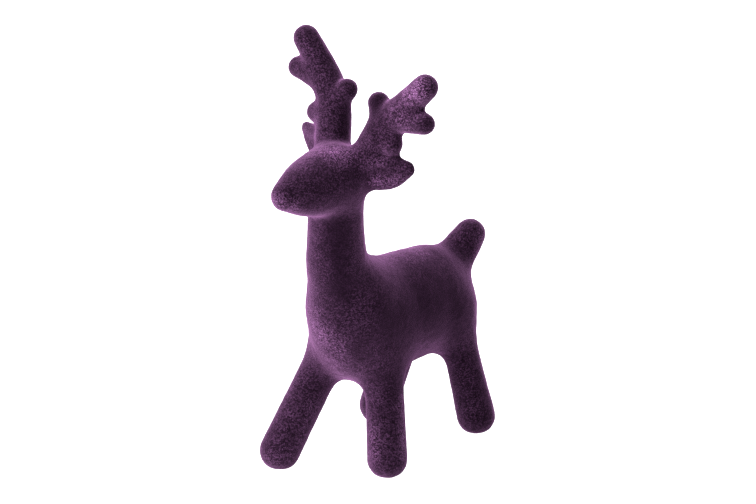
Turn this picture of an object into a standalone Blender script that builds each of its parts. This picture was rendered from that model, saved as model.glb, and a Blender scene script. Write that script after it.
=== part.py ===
"""A flocked reindeer figurine: one cast piece that stands on its own four feet.

Metres, +Z up. The animal faces -Y, its left side is +X, and the origin is on the ground,
in the middle of its box. The casting is drawn as limbs: each limb is a run of balls along
a smooth centre line, and each melts into the rest with a fillet of its own, as in clay.
"""

from typing import NamedTuple

import bmesh
import bpy
import numpy as np
from mathutils import Matrix, Vector

# Driving dimensions
HEIGHT = 0.200  # ground to antler tips
DRAWN_HEIGHT = 203.5  # the same height in the units that the limbs below are drawn in
UNIT = HEIGHT / DRAWN_HEIGHT

# Working fineness of the solid
MODEL_CELL = 1.5 * UNIT  # cell of the remeshed form
MOST_TRIANGLES = 9600
BALLS_PER_STEP = 6  # balls drawn between two places of a limb

# Sizes that several limbs share, in units
HIP_RADIUS = 9.5
LEG_FILLET = 11
LEFT_TINE_DROOP = 1.3  # the outer tine sits a little lower on the left antler
RIGHT_TINE_DROOP = -0.8
LEFT_EAR_DROOP = 0.0
RIGHT_EAR_DROOP = 2.0  # the right ear hangs a little lower
EAR_BACK = (-0.28, 0.96, 0.0)  # the way the back of the left ear faces

FLOCK_COLOUR = (0.045, 0.018, 0.050, 1.0)
FLOCK_ROUGHNESS = 0.95


class Limb(NamedTuple):
    """A run of balls, x, y, z and radius in units, with the fillet where it meets the rest."""

    places: tuple
    fillet: float
    squeeze: float = 1.0  # thickness along the axis below, as a share of the full round
    axis: tuple = (1.0, 0.0, 0.0)
    carved: bool = False  # a carved limb is scooped out of the form


def clear_scene():
    for obj in list(bpy.data.objects):
        bpy.data.objects.remove(obj, do_unlink=True)


def mirrored(limb):
    """The same limb on the animal's right side."""
    places = tuple((-x, y, z, radius) for x, y, z, radius in limb.places)
    return limb._replace(places=places, axis=(-limb.axis[0], *limb.axis[1:]))


def smooth_run(places):
    """Balls along a curve through the places, as rows of x, y, z and radius."""
    stops = np.array(places, dtype=float)
    if len(stops) == 1:
        return stops
    padded = np.vstack([2 * stops[0] - stops[1], stops, 2 * stops[-1] - stops[-2]])
    share = np.linspace(0, 1, BALLS_PER_STEP, endpoint=False)[:, None]
    pieces = []
    for before, start, end, after in zip(padded, padded[1:], padded[2:], padded[3:]):
        bend = share * (end - before) / 2 + share**2 * (before - 2.5 * start + 2 * end - after / 2)
        pieces.append(start + bend + share**3 * (3 * start - before - 3 * end + after) / 2)
    return np.vstack([*pieces, stops[-1:]])


def squeeze_matrix(limb):
    """Maps the squeezed limb back to a round one."""
    axis = np.array(limb.axis) / np.linalg.norm(limb.axis)
    return np.eye(3) + (1 / limb.squeeze - 1) * np.outer(axis, axis)


def limb_distance(points, limb):
    """How far each point is outside the limb, and the way out there."""
    rounding = squeeze_matrix(limb)
    run = smooth_run(limb.places)
    centres = run[:, :3] @ rounding
    here = points @ rounding
    nearest = np.full(len(points), np.inf)
    way_out = np.zeros_like(points)
    ends = range(1, len(run)) if len(run) > 1 else [0]
    for end in ends:
        start = max(end - 1, 0)
        along = centres[end] - centres[start]
        length = max(along @ along, 1e-12)
        share = np.clip((here - centres[start]) @ along / length, 0, 1)
        gap = here - centres[start] - share[:, None] * along
        reach = np.maximum(np.linalg.norm(gap, axis=1), 1e-9)
        distance = reach - run[start, 3] - share * (run[end, 3] - run[start, 3])
        closer = distance < nearest
        nearest[closer] = distance[closer]
        way_out[closer] = (gap / reach[:, None])[closer]
    slope = way_out @ rounding
    steepness = np.linalg.norm(slope, axis=1)
    return nearest / steepness, slope / steepness[:, None]


def form_distance(points, limbs):
    """The blended form: each limb in turn is added, or carved out, with its fillet."""
    total, total_way = limb_distance(points, limbs[0])
    for limb in limbs[1:]:
        distance, way = limb_distance(points, limb)
        if limb.carved:
            weight = np.clip(0.5 - (total + distance) / (2 * limb.fillet), 0, 1)
            total = total + weight * (-distance - total) + limb.fillet * weight * (1 - weight)
            total_way = (1 - weight)[:, None] * total_way - weight[:, None] * way
        else:
            weight = np.clip(0.5 + (total - distance) / (2 * limb.fillet), 0, 1)
            total = total + weight * (distance - total) - limb.fillet * weight * (1 - weight)
            total_way = (1 - weight)[:, None] * total_way + weight[:, None] * way
    return total, total_way


def settle(mesh, limbs, passes):
    """Moves every vertex onto the blended form."""
    points = np.empty(len(mesh.vertices) * 3)
    mesh.vertices.foreach_get("co", points)
    points = points.reshape(-1, 3) / UNIT
    for _ in range(passes):
        distance, way = form_distance(points, limbs)
        slope = np.maximum(np.einsum("ij,ij->i", way, way), 0.05)
        points -= way * (distance / slope)[:, None]
    mesh.vertices.foreach_set("co", (points * UNIT).ravel())
    mesh.update()


def with_modifier(mesh, kind, **settings):
    """A copy of the mesh with one modifier applied."""
    helper = bpy.data.objects.new("helper", mesh)
    bpy.context.scene.collection.objects.link(helper)
    modifier = helper.modifiers.new(kind.title(), kind)
    for name, value in settings.items():
        setattr(modifier, name, value)
    graph = bpy.context.evaluated_depsgraph_get()
    result = bpy.data.meshes.new_from_object(helper.evaluated_get(graph), depsgraph=graph)
    bpy.data.objects.remove(helper, do_unlink=True)
    return result


def rough_form(limbs):
    """The balls of every limb as plain spheres, which the remesh then fuses."""
    builder = bmesh.new()
    for limb in limbs:
        if limb.carved:
            continue
        squeezing = Matrix(np.linalg.inv(squeeze_matrix(limb)).tolist()).to_4x4()
        for x, y, z, radius in smooth_run(limb.places):
            place = Matrix.Translation(Vector((x, y, z)) * UNIT) @ squeezing
            bmesh.ops.create_icosphere(builder, subdivisions=3, radius=radius * UNIT, matrix=place)
    mesh = bpy.data.meshes.new("rough form")
    builder.to_mesh(mesh)
    builder.free()
    return mesh


def cut_soles(mesh):
    """Cuts the feet flat on the ground, and moves the origin to the middle of the box."""
    builder = bmesh.new()
    builder.from_mesh(mesh)
    everything = builder.verts[:] + builder.edges[:] + builder.faces[:]
    bmesh.ops.bisect_plane(
        builder,
        geom=everything,
        dist=1e-7,
        plane_co=(0, 0, 0),
        plane_no=(0, 0, 1),
        clear_inner=True,
    )
    rims = [edge for edge in builder.edges if edge.is_boundary]
    bmesh.ops.holes_fill(builder, edges=rims)
    bmesh.ops.remove_doubles(builder, verts=builder.verts[:], dist=1e-6)
    xs = [vertex.co.x for vertex in builder.verts]
    ys = [vertex.co.y for vertex in builder.verts]
    middle = Vector((min(xs) + max(xs), min(ys) + max(ys), 0)) / 2
    bmesh.ops.translate(builder, verts=builder.verts[:], vec=-middle)
    bmesh.ops.recalc_face_normals(builder, faces=builder.faces[:])
    builder.to_mesh(mesh)
    builder.free()


def torso_limbs():
    trunk = Limb(
        places=((0, -6.3, 66.7, 26), (0, 12, 66.4, 26.9), (0, 31.4, 64.6, 25.8)),
        fillet=6,
        squeeze=0.81,
    )
    neck = Limb(
        places=((0, -24, 139, 12.6), (0, -24, 121, 12.8), (0, -23, 103, 14.3), (0, -16, 86, 17)),
        fillet=18,
    )
    tail = Limb(places=((0, 49, 74.5, 9.2), (0, 57, 81, 8.6), (0, 64, 86.5, 7.2)), fillet=6.5)
    return [trunk, neck, tail]


def leg(hip, foot, foot_radius, knee_radius):
    """A straight round leg from its hip to a round-ended foot, whose sole is cut later."""
    sole_depth = 0.72 * foot_radius  # ground to the middle of the foot's ball
    hip, ankle = Vector(hip), Vector((*foot, sole_depth))
    knee = ankle.lerp(hip, 0.55)
    stops = ((ankle, foot_radius), (knee, knee_radius), (hip, HIP_RADIUS))
    return Limb(places=tuple((*place, radius) for place, radius in stops), fillet=LEG_FILLET)


def leg_limbs():
    """The animal walks: its right feet are ahead of its left ones."""
    return [
        leg(hip=(7.2, -1.8, 70.7), foot=(21.1, -12.5), foot_radius=9.3, knee_radius=8.8),
        leg(hip=(-9.5, -5.4, 71), foot=(-19.7, -40.9), foot_radius=9.4, knee_radius=9.0),
        leg(hip=(8.8, 42.4, 58.4), foot=(21.4, 46.1), foot_radius=9.0, knee_radius=8.1),
        leg(hip=(-10, 37.5, 59.3), foot=(-18.4, 22.2), foot_radius=8.9, knee_radius=8.6),
    ]


def head_limbs():
    skull = Limb(
        places=((0, -26, 147.5, 16), (0, -40, 147.9, 13.4), (0, -55.3, 148.8, 7)),
        fillet=5,
    )
    return [skull]


def antler_limbs(droop):
    """The left antler: a curving beam with three stubby tines, the outer one lowered by droop."""
    beam = Limb(
        places=(
            (10.6, -15, 156, 8.2),
            (16.2, -8.6, 173, 7.7),
            (25.6, -5.2, 184.8, 6.6),
            (37, -5, 197.5, 6),
        ),
        fillet=5,
    )
    inner_tine = Limb(places=((15.2, -9, 172.8, 5), (9.9, -6.6, 181.4, 5.1)), fillet=2.5)
    outer_tine = Limb(
        places=((23, -7.5, 180.2 - 1.9 * droop, 5.7), (39.2, -7.7, 182.4 - droop, 5.0)),
        fillet=4,
    )
    lower_tine = Limb(places=((14, -11, 168, 4.5), (23.7, -12, 167.3, 4.7)), fillet=4)
    return [beam, inner_tine, outer_tine, lower_tine]


def ear_limbs(droop):
    """The left ear: a thick pointed leaf, shallowly cupped on its front, its tip lowered by droop."""
    ear = Limb(
        places=(
            (13, -15.5, 149.2, 7),
            (21.5, -13, 153.2 - droop / 2, 8.3),
            (31.2, -10.4, 157.4 - droop, 4.2),
        ),
        fillet=4,
        squeeze=0.5,
        axis=EAR_BACK,
    )
    cup = Limb(
        places=((21.5, -18.2, 152.6, 4.2), (29.3, -16, 156.4, 2.4)),
        fillet=2.5,
        squeeze=0.55,
        axis=EAR_BACK,
        carved=True,
    )
    return [ear, cup]


def reindeer_limbs():
    left_side = antler_limbs(LEFT_TINE_DROOP) + ear_limbs(LEFT_EAR_DROOP)
    right_side = antler_limbs(RIGHT_TINE_DROOP) + ear_limbs(RIGHT_EAR_DROOP)
    right_side = [mirrored(limb) for limb in right_side]
    return torso_limbs() + leg_limbs() + head_limbs() + left_side + right_side


def flock_material():
    material = bpy.data.materials.new("dark purple flock")
    material.use_nodes = True
    shader = material.node_tree.nodes["Principled BSDF"]
    shader.inputs["Base Color"].default_value = FLOCK_COLOUR
    shader.inputs["Roughness"].default_value = FLOCK_ROUGHNESS
    shader.inputs["Metallic"].default_value = 0.0
    return material


def make_reindeer():
    limbs = reindeer_limbs()
    mesh = with_modifier(rough_form(limbs), "REMESH", mode="VOXEL", voxel_size=MODEL_CELL)
    settle(mesh, limbs, passes=6)
    mesh = with_modifier(mesh, "REMESH", mode="VOXEL", voxel_size=MODEL_CELL)
    settle(mesh, limbs, passes=2)
    triangles = sum(len(face.vertices) - 2 for face in mesh.polygons)
    mesh = with_modifier(mesh, "DECIMATE", ratio=min(1.0, MOST_TRIANGLES / triangles))
    settle(mesh, limbs, passes=2)
    cut_soles(mesh)
    mesh.shade_smooth()
    mesh.name = "reindeer"
    mesh.materials.clear()
    mesh.materials.append(flock_material())
    figurine = bpy.data.collections.new("reindeer figurine")
    bpy.context.scene.collection.children.link(figurine)
    figurine.objects.link(bpy.data.objects.new("reindeer", mesh))


clear_scene()
make_reindeer()
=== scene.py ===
"""A flocked reindeer figurine, standing on a white studio sweep."""

from math import cos, radians, sin

import bpy
import numpy as np
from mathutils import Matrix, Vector, noise


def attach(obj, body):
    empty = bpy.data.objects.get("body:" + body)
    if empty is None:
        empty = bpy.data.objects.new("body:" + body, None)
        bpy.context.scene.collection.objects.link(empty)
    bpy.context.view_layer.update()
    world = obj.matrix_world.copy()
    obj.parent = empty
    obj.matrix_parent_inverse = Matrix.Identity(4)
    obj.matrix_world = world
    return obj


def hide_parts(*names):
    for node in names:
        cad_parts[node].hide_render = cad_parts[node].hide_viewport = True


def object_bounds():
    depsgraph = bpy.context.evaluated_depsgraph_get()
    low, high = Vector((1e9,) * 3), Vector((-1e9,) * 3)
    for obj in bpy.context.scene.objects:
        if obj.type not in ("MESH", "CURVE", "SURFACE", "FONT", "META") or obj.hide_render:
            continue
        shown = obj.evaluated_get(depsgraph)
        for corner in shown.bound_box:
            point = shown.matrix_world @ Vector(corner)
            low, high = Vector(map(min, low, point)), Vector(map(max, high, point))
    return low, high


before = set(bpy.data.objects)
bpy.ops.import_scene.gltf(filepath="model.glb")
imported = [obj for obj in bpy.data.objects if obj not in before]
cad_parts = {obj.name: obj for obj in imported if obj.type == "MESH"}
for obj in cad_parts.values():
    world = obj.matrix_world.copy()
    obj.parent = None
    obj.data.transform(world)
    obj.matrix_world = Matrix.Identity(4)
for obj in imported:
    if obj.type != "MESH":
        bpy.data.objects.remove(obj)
cad_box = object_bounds()
scene = bpy.context.scene


# Camera
# A long lens from the animal's front left and a little above, as the photo was taken. It comes
# first, so that everything after it can be judged in the same view.
CAMERA_AZIMUTH = radians(44.2)  # from straight ahead towards the animal's left
CAMERA_ELEVATION = radians(27.2)
LENS_MM = 300.0
SENSOR_MM = 36.0
FRAME_WIDTH = 0.3366  # width of the view at the figurine, in metres
FARTHEST = 20.0  # how far the camera sees, well past the sweep's corners
AIM = Vector((0.0, -0.0013, 0.0978))


def direction(azimuth, elevation):
    """The way out from the figurine at two angles, in radians."""
    return Vector(
        (
            sin(azimuth) * cos(elevation),
            -cos(azimuth) * cos(elevation),
            sin(elevation),
        )
    )


def look_back(thing, way, distance):
    """Sets a camera or a light this far out along the way, looking back at the figurine."""
    thing.location = AIM + way * distance
    thing.rotation_euler = way.to_track_quat("Z", "Y").to_euler()
    scene.collection.objects.link(thing)


lens_data = bpy.data.cameras.new("studio camera")
lens_data.lens = LENS_MM
lens_data.sensor_width = SENSOR_MM
lens_data.clip_end = FARTHEST
camera = bpy.data.objects.new("studio camera", lens_data)
look_back(camera, direction(CAMERA_AZIMUTH, CAMERA_ELEVATION), FRAME_WIDTH * LENS_MM / SENSOR_MM)
scene.camera = camera


# Flocked body
# The figurine is one smooth casting, coated all over with short nylon fibres that stand on end in
# glue. The mesh is the casting's own form, made fine, with the slight lumps of the glued nap.
COAT_CELL = 0.00078  # mesh fineness
FACET_SOFTENING = 0.5  # share of the way that each round moves a point
SOFTENING_ROUNDS = 6
NAP_LUMP = 0.0032  # size of the glue coat's slow waves
NAP_RISE = 0.00012  # and their height
CLUMP_SIZE = 0.0011  # clumps of fibres
CLUMP_RISE = 0.00005


def remeshed(mesh, cell):
    """A copy of the mesh in even small faces."""
    helper = bpy.data.objects.new("remesh helper", mesh)
    scene.collection.objects.link(helper)
    remesh = helper.modifiers.new("even faces", "REMESH")
    remesh.mode = "VOXEL"
    remesh.voxel_size = cell
    evening = helper.modifiers.new("soften the facets", "SMOOTH")
    evening.factor = FACET_SOFTENING
    evening.iterations = SOFTENING_ROUNDS
    graph = bpy.context.evaluated_depsgraph_get()
    result = bpy.data.meshes.new_from_object(helper.evaluated_get(graph), depsgraph=graph)
    bpy.data.objects.remove(helper, do_unlink=True)
    return result


def raise_nap(mesh):
    """Moves the skin in and out by the waves of the glue and the clumps of the fibres."""
    raised = []
    for vertex in mesh.vertices:
        wave = noise.noise(vertex.co / NAP_LUMP)
        clump = noise.noise(vertex.co / CLUMP_SIZE)
        raised.append(vertex.co + vertex.normal * (wave * NAP_RISE + clump * CLUMP_RISE))
    mesh.vertices.foreach_set("co", np.array(raised).ravel())
    mesh.update()


coat_mesh = remeshed(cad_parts["reindeer"].data.copy(), COAT_CELL)
raise_nap(coat_mesh)
coat_mesh.shade_smooth()
coat_mesh.materials.clear()
coat = bpy.data.objects.new("flocked_reindeer", coat_mesh)
scene.collection.objects.link(coat)


# Flock
# Short dense velvet pile. Seen end on the fibres swallow the light, and seen from the side they
# shine a pinkish purple. Pale strokes on it are painted highlights, and dark strokes are painted
# shade.
DEEP_PURPLE = (0.006, 0.0024, 0.006, 1.0)  # down between the tufts
WARM_PURPLE = (0.096, 0.040, 0.097, 1.0)  # their tips
PAINTED_HIGHLIGHT_PURPLE = (0.480, 0.205, 0.487, 1.0)  # painted highlight on the tips
PAINTED_SHADE_PURPLE = (0.014, 0.005, 0.015, 1.0)  # and painted shade on the tips
PILE_ROUGHNESS = 0.9
SHEEN_PINK = (1.0, 0.46, 1.0, 1.0)
SHEEN_WEIGHT = 0.74
SHEEN_ROUGHNESS = 0.42

# Grain of the pile: fine tufts, each in its own tone, and broad patches where the nap leans.
TUFTS_PER_METRE = 2200.0
TUFT_CONTRAST = 2.0  # above 1, most tufts are dark and a few are pale
TUFT_SHADOW = 0.38  # strength of the tufts' relief
TUFT_DEPTH = 0.0004
PATCHES_PER_METRE = 60.0
PATCH_DETAIL = 4.0
PATCH_ROUGHNESS = 0.6
PATCH_LOW, PATCH_HIGH = 0.35, 0.68  # the noise's useful range
PATCH_DARKEST, PATCH_PALEST = 0.55, 1.25  # and what it multiplies the tufts' tone by

# Painted strokes of light and shade: start and end as shares of the figurine's box, from its right
# side, its snout and the ground, then reach in metres, and strength.
# Painted highlights: pale patches where the surface is made to look more brightly lit.
PAINTED_HIGHLIGHT_STROKES = {
    "chest": ((0.455, 0.200, 0.380), (0.605, 0.225, 0.290), 0.012, 0.40),
    "left foreleg": ((0.640, 0.250, 0.275), (0.690, 0.315, 0.060), 0.009, 0.30),
    "left foreleg's side": ((0.760, 0.435, 0.170), (0.825, 0.405, 0.060), 0.007, 0.80),
    "right foreleg's side": ((0.425, 0.250, 0.160), (0.400, 0.195, 0.070), 0.006, 0.20),
    "right forefoot": ((0.340, 0.105, 0.030), (0.400, 0.135, 0.035), 0.008, 0.25),
    "left hind leg": ((0.760, 0.765, 0.150), (0.795, 0.755, 0.040), 0.007, 0.15),
    "belly": ((0.720, 0.560, 0.265), (0.665, 0.690, 0.220), 0.007, 0.30),
    "back": ((0.530, 0.505, 0.470), (0.535, 0.670, 0.450), 0.008, 0.45),
    "tail": ((0.590, 0.955, 0.430), (0.600, 0.925, 0.400), 0.005, 0.60),
    "snout": ((0.490, 0.005, 0.720), (0.560, 0.025, 0.715), 0.008, 0.50),
    "brow": ((0.475, 0.120, 0.785), (0.485, 0.180, 0.795), 0.006, 0.30),
    "crown": ((0.485, 0.230, 0.800), (0.560, 0.255, 0.800), 0.009, 1.00),
    "left ear root": ((0.685, 0.315, 0.780), (0.730, 0.330, 0.780), 0.005, 0.25),
    "left ear lip": ((0.715, 0.335, 0.730), (0.840, 0.365, 0.745), 0.0045, 0.55),
    "left antler": ((0.795, 0.370, 0.900), (0.885, 0.370, 0.875), 0.007, 0.25),
    "left outer tine": ((0.930, 0.390, 0.910), (0.930, 0.390, 0.915), 0.004, 0.35),
    "left antler tip": ((0.875, 0.385, 0.955), (0.940, 0.405, 0.990), 0.008, 1.00),
}
# Painted shade: dark patches where the surface is made to look less lit.
PAINTED_SHADE_STROKES = {
    "left flank": ((0.740, 0.445, 0.390), (0.740, 0.720, 0.325), 0.019, 1.00),
    "neck": ((0.600, 0.220, 0.635), (0.620, 0.225, 0.475), 0.010, 0.80),
    "left inner tine": ((0.650, 0.390, 0.900), (0.665, 0.375, 0.890), 0.005, 0.80),
}
RAGS_PER_METRE = 140.0  # noise that tears a stroke's edge
RAG_DETAIL = 3.0
STROKE_FULL, STROKE_GONE = 0.6, 1.6  # distance in reaches plus noise, where the stroke fades


def fill_inputs(tree, node, inputs):
    """Gives each input its number or colour, or a link where it comes from another node."""
    for name, source in inputs.items():
        if isinstance(source, bpy.types.NodeSocket):
            tree.links.new(source, node.inputs[name])
        else:
            node.inputs[name].default_value = source


def add_node(tree, kind, inputs, **settings):
    """A new node, with its settings made before its inputs are filled."""
    node = tree.nodes.new(kind)
    for setting, value in settings.items():
        setattr(node, setting, value)
    fill_inputs(tree, node, inputs)
    return node


def maths(tree, operation, first, second, clamp=False):
    """What a maths node makes of two numbers."""
    inputs = {0: first, 1: second}
    node = add_node(tree, "ShaderNodeMath", inputs, operation=operation, use_clamp=clamp)
    return node.outputs["Value"]


def vector_maths(tree, operation, first, second):
    """What a vector maths node makes of two vectors, or of a vector and the number to scale it by."""
    inputs = {0: first, "Scale" if operation == "SCALE" else 1: second}
    node = add_node(tree, "ShaderNodeVectorMath", inputs, operation=operation)
    return node.outputs["Value" if operation in ("DOT_PRODUCT", "DISTANCE") else "Vector"]


def colour_mix(tree, factor, first, second):
    """The first colour where the factor is 0, and the second where it is 1."""
    inputs = {"Factor": factor, "A": first, "B": second}
    return add_node(tree, "ShaderNodeMix", inputs, data_type="RGBA").outputs["Result"]


def new_group(name, inputs, outputs):
    """An empty node group with named float, colour or vector sockets, and its two ends."""
    group = bpy.data.node_groups.new(name, "ShaderNodeTree")
    for in_out, sockets in (("INPUT", inputs), ("OUTPUT", outputs)):
        for socket, kind in sockets.items():
            group.interface.new_socket(socket, in_out=in_out, socket_type=f"NodeSocket{kind}")
    return group, group.nodes.new("NodeGroupInput").outputs, group.nodes.new("NodeGroupOutput")


def fibre_grain_group():
    """Grain of the pile: single tufts of fibres, each in its own tone, and the nap's broad lie."""
    group, given, made = new_group(
        "flock grain",
        {
            "Deep Colour": "Color",
            "Lit Colour": "Color",
            "Fibre Scale": "Float",
            "Patch Scale": "Float",
        },
        {"Colour": "Color", "Height": "Float"},
    )
    place = add_node(group, "ShaderNodeTexCoord", {}).outputs["Object"]
    tufts = add_node(
        group,
        "ShaderNodeTexVoronoi",
        {"Vector": place, "Scale": given["Fibre Scale"]},
    )
    tuft_shade = add_node(group, "ShaderNodeSeparateColor", {"Color": tufts.outputs["Color"]})
    tuft_tone = maths(group, "POWER", tuft_shade.outputs["Red"], TUFT_CONTRAST)
    patches = add_node(
        group,
        "ShaderNodeTexNoise",
        {
            "Vector": place,
            "Scale": given["Patch Scale"],
            "Detail": PATCH_DETAIL,
            "Roughness": PATCH_ROUGHNESS,
        },
    )
    drift = add_node(
        group,
        "ShaderNodeMapRange",
        {
            "Value": patches.outputs["Fac"],
            "From Min": PATCH_LOW,
            "From Max": PATCH_HIGH,
            "To Min": PATCH_DARKEST,
            "To Max": PATCH_PALEST,
        },
    )
    tone = maths(group, "MULTIPLY", tuft_tone, drift.outputs["Result"], clamp=True)
    colour = colour_mix(group, tone, given["Deep Colour"], given["Lit Colour"])
    fill_inputs(group, made, {"Colour": colour, "Height": tuft_shade.outputs["Green"]})
    return group


def painted_light_stroke_group():
    """A soft ragged mask around the line from one place to another, for painted highlights and
    painted shade.
    """
    group, given, made = new_group(
        "painted light and shade stroke",
        {"From": "Vector", "To": "Vector", "Reach": "Float", "Strength": "Float"},
        {"Mask": "Float"},
    )
    place = add_node(group, "ShaderNodeTexCoord", {}).outputs["Object"]
    here = vector_maths(group, "SUBTRACT", place, given["From"])
    along = vector_maths(group, "SUBTRACT", given["To"], given["From"])
    done = vector_maths(group, "DOT_PRODUCT", here, along)
    whole = vector_maths(group, "DOT_PRODUCT", along, along)
    share = maths(group, "DIVIDE", done, whole, clamp=True)
    nearest = vector_maths(group, "SCALE", along, share)
    gap = vector_maths(group, "DISTANCE", here, nearest)
    reaches = maths(group, "DIVIDE", gap, given["Reach"])
    rag = add_node(
        group,
        "ShaderNodeTexNoise",
        {"Vector": place, "Scale": RAGS_PER_METRE, "Detail": RAG_DETAIL},
    )
    torn = maths(group, "ADD", reaches, rag.outputs["Fac"])
    fade = add_node(
        group,
        "ShaderNodeMapRange",
        {
            "Value": torn,
            "From Min": STROKE_FULL,
            "From Max": STROKE_GONE,
            "To Min": 1.0,
            "To Max": 0.0,
        },
        interpolation_type="SMOOTHSTEP",
    )
    mask = maths(group, "MULTIPLY", fade.outputs["Result"], given["Strength"])
    fill_inputs(group, made, {"Mask": mask})
    return group


def on_body(shares):
    """A place in metres, from shares of the figurine's box."""
    low, high = (Vector(corner) for corner in cad_box)
    return low + Vector(share * side for share, side in zip(shares, high - low))


def stroke_mask(tree, stroke_group, strokes):
    """All the strokes in one mask: the strongest of them at each place."""
    strongest = 0.0
    for start, end, reach, strength in strokes.values():
        stroke = add_node(
            tree,
            "ShaderNodeGroup",
            {
                "From": on_body(start),
                "To": on_body(end),
                "Reach": reach,
                "Strength": strength,
            },
            node_tree=stroke_group,
        )
        strongest = maths(tree, "MAXIMUM", strongest, stroke.outputs["Mask"])
    return strongest


flock = bpy.data.materials.new("dark purple flock")
flock.use_nodes = True
tree = flock.node_tree
stroke_group = painted_light_stroke_group()
# The tips take painted highlights in the pale strokes and painted shade in the dark strokes.
painted_highlight_mask = stroke_mask(tree, stroke_group, PAINTED_HIGHLIGHT_STROKES)
painted_shade_mask = stroke_mask(tree, stroke_group, PAINTED_SHADE_STROKES)
highlighted_tips = colour_mix(tree, painted_highlight_mask, WARM_PURPLE, PAINTED_HIGHLIGHT_PURPLE)
grain = add_node(
    tree,
    "ShaderNodeGroup",
    {
        "Deep Colour": DEEP_PURPLE,
        "Lit Colour": colour_mix(tree, painted_shade_mask, highlighted_tips, PAINTED_SHADE_PURPLE),
        "Fibre Scale": TUFTS_PER_METRE,
        "Patch Scale": PATCHES_PER_METRE,
    },
    node_tree=fibre_grain_group(),
)
relief = add_node(
    tree,
    "ShaderNodeBump",
    {
        "Strength": TUFT_SHADOW,
        "Distance": TUFT_DEPTH,
        "Height": grain.outputs["Height"],
    },
)
fill_inputs(
    tree,
    tree.nodes["Principled BSDF"],
    {
        "Base Color": grain.outputs["Colour"],
        "Normal": relief.outputs["Normal"],
        "Roughness": PILE_ROUGHNESS,
        "Specular IOR Level": 0.0,
        "Sheen Weight": SHEEN_WEIGHT,
        "Sheen Roughness": SHEEN_ROUGHNESS,
        "Sheen Tint": SHEEN_PINK,
    },
)
coat.data.materials.append(flock)

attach(coat, "root")
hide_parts("reindeer")


# Studio
# A white sweep under and behind the figurine, which looks brighter than it shines, and four
# softboxes: a low key on the picture's left, a high one behind it, a weak one nearer the camera,
# and a low one behind the right edge.
WHITE = (1.0, 1.0, 1.0, 1.0)
FLOOR_HALF = 6.0
FLOOR_WHITE = (0.5, 0.5, 0.5, 1.0)
FLOOR_ROUGHNESS = 0.9
FLOOR_GLOW = 0.62  # what the figurine gets from it
FLOOR_LOOK = 1.0  # and what it shows on top of that
SOFTBOX_SIZE = 0.9
SOFTBOX_REACH = 1.2  # from the figurine
ROOM_LIGHT = 0.02

floor_mesh = bpy.data.meshes.new("studio_floor")
corners = [(x * FLOOR_HALF, y * FLOOR_HALF, 0.0) for x, y in ((-1, -1), (1, -1), (1, 1), (-1, 1))]
floor_mesh.from_pydata(corners, [], [(0, 1, 2, 3)])
floor = bpy.data.objects.new("studio_floor", floor_mesh)
scene.collection.objects.link(floor)
paper = bpy.data.materials.new("white sweep")
paper.use_nodes = True
rays = add_node(paper.node_tree, "ShaderNodeLightPath", {})
shine = add_node(
    paper.node_tree,
    "ShaderNodeMath",
    {0: rays.outputs["Is Camera Ray"], 1: FLOOR_LOOK, 2: FLOOR_GLOW},
    operation="MULTIPLY_ADD",
)
fill_inputs(
    paper.node_tree,
    paper.node_tree.nodes["Principled BSDF"],
    {
        "Base Color": FLOOR_WHITE,
        "Roughness": FLOOR_ROUGHNESS,
        "Specular IOR Level": 0.0,
        "Emission Color": WHITE,
        "Emission Strength": shine.outputs["Value"],
    },
)
floor_mesh.materials.append(paper)


def soft_light(name, azimuth, elevation, power):
    """A square softbox. Azimuth counts from the camera's, towards the picture's right."""
    data = bpy.data.lights.new(name, "AREA")
    data.size = SOFTBOX_SIZE
    data.energy = power
    way = direction(CAMERA_AZIMUTH + radians(azimuth), radians(elevation))
    look_back(bpy.data.objects.new(name, data), way, SOFTBOX_REACH)


soft_light("key softbox", azimuth=-75, elevation=14, power=15)
soft_light("high softbox", azimuth=-110, elevation=58, power=11)
soft_light("front softbox", azimuth=-40, elevation=14, power=6)
soft_light("right softbox", azimuth=156, elevation=14, power=14)

world = bpy.data.worlds.new("white studio")
world.use_nodes = True
background = world.node_tree.nodes["Background"]
fill_inputs(world.node_tree, background, {"Color": WHITE, "Strength": ROOM_LIGHT})
scene.world = world
scene.view_settings.view_transform = "Standard"
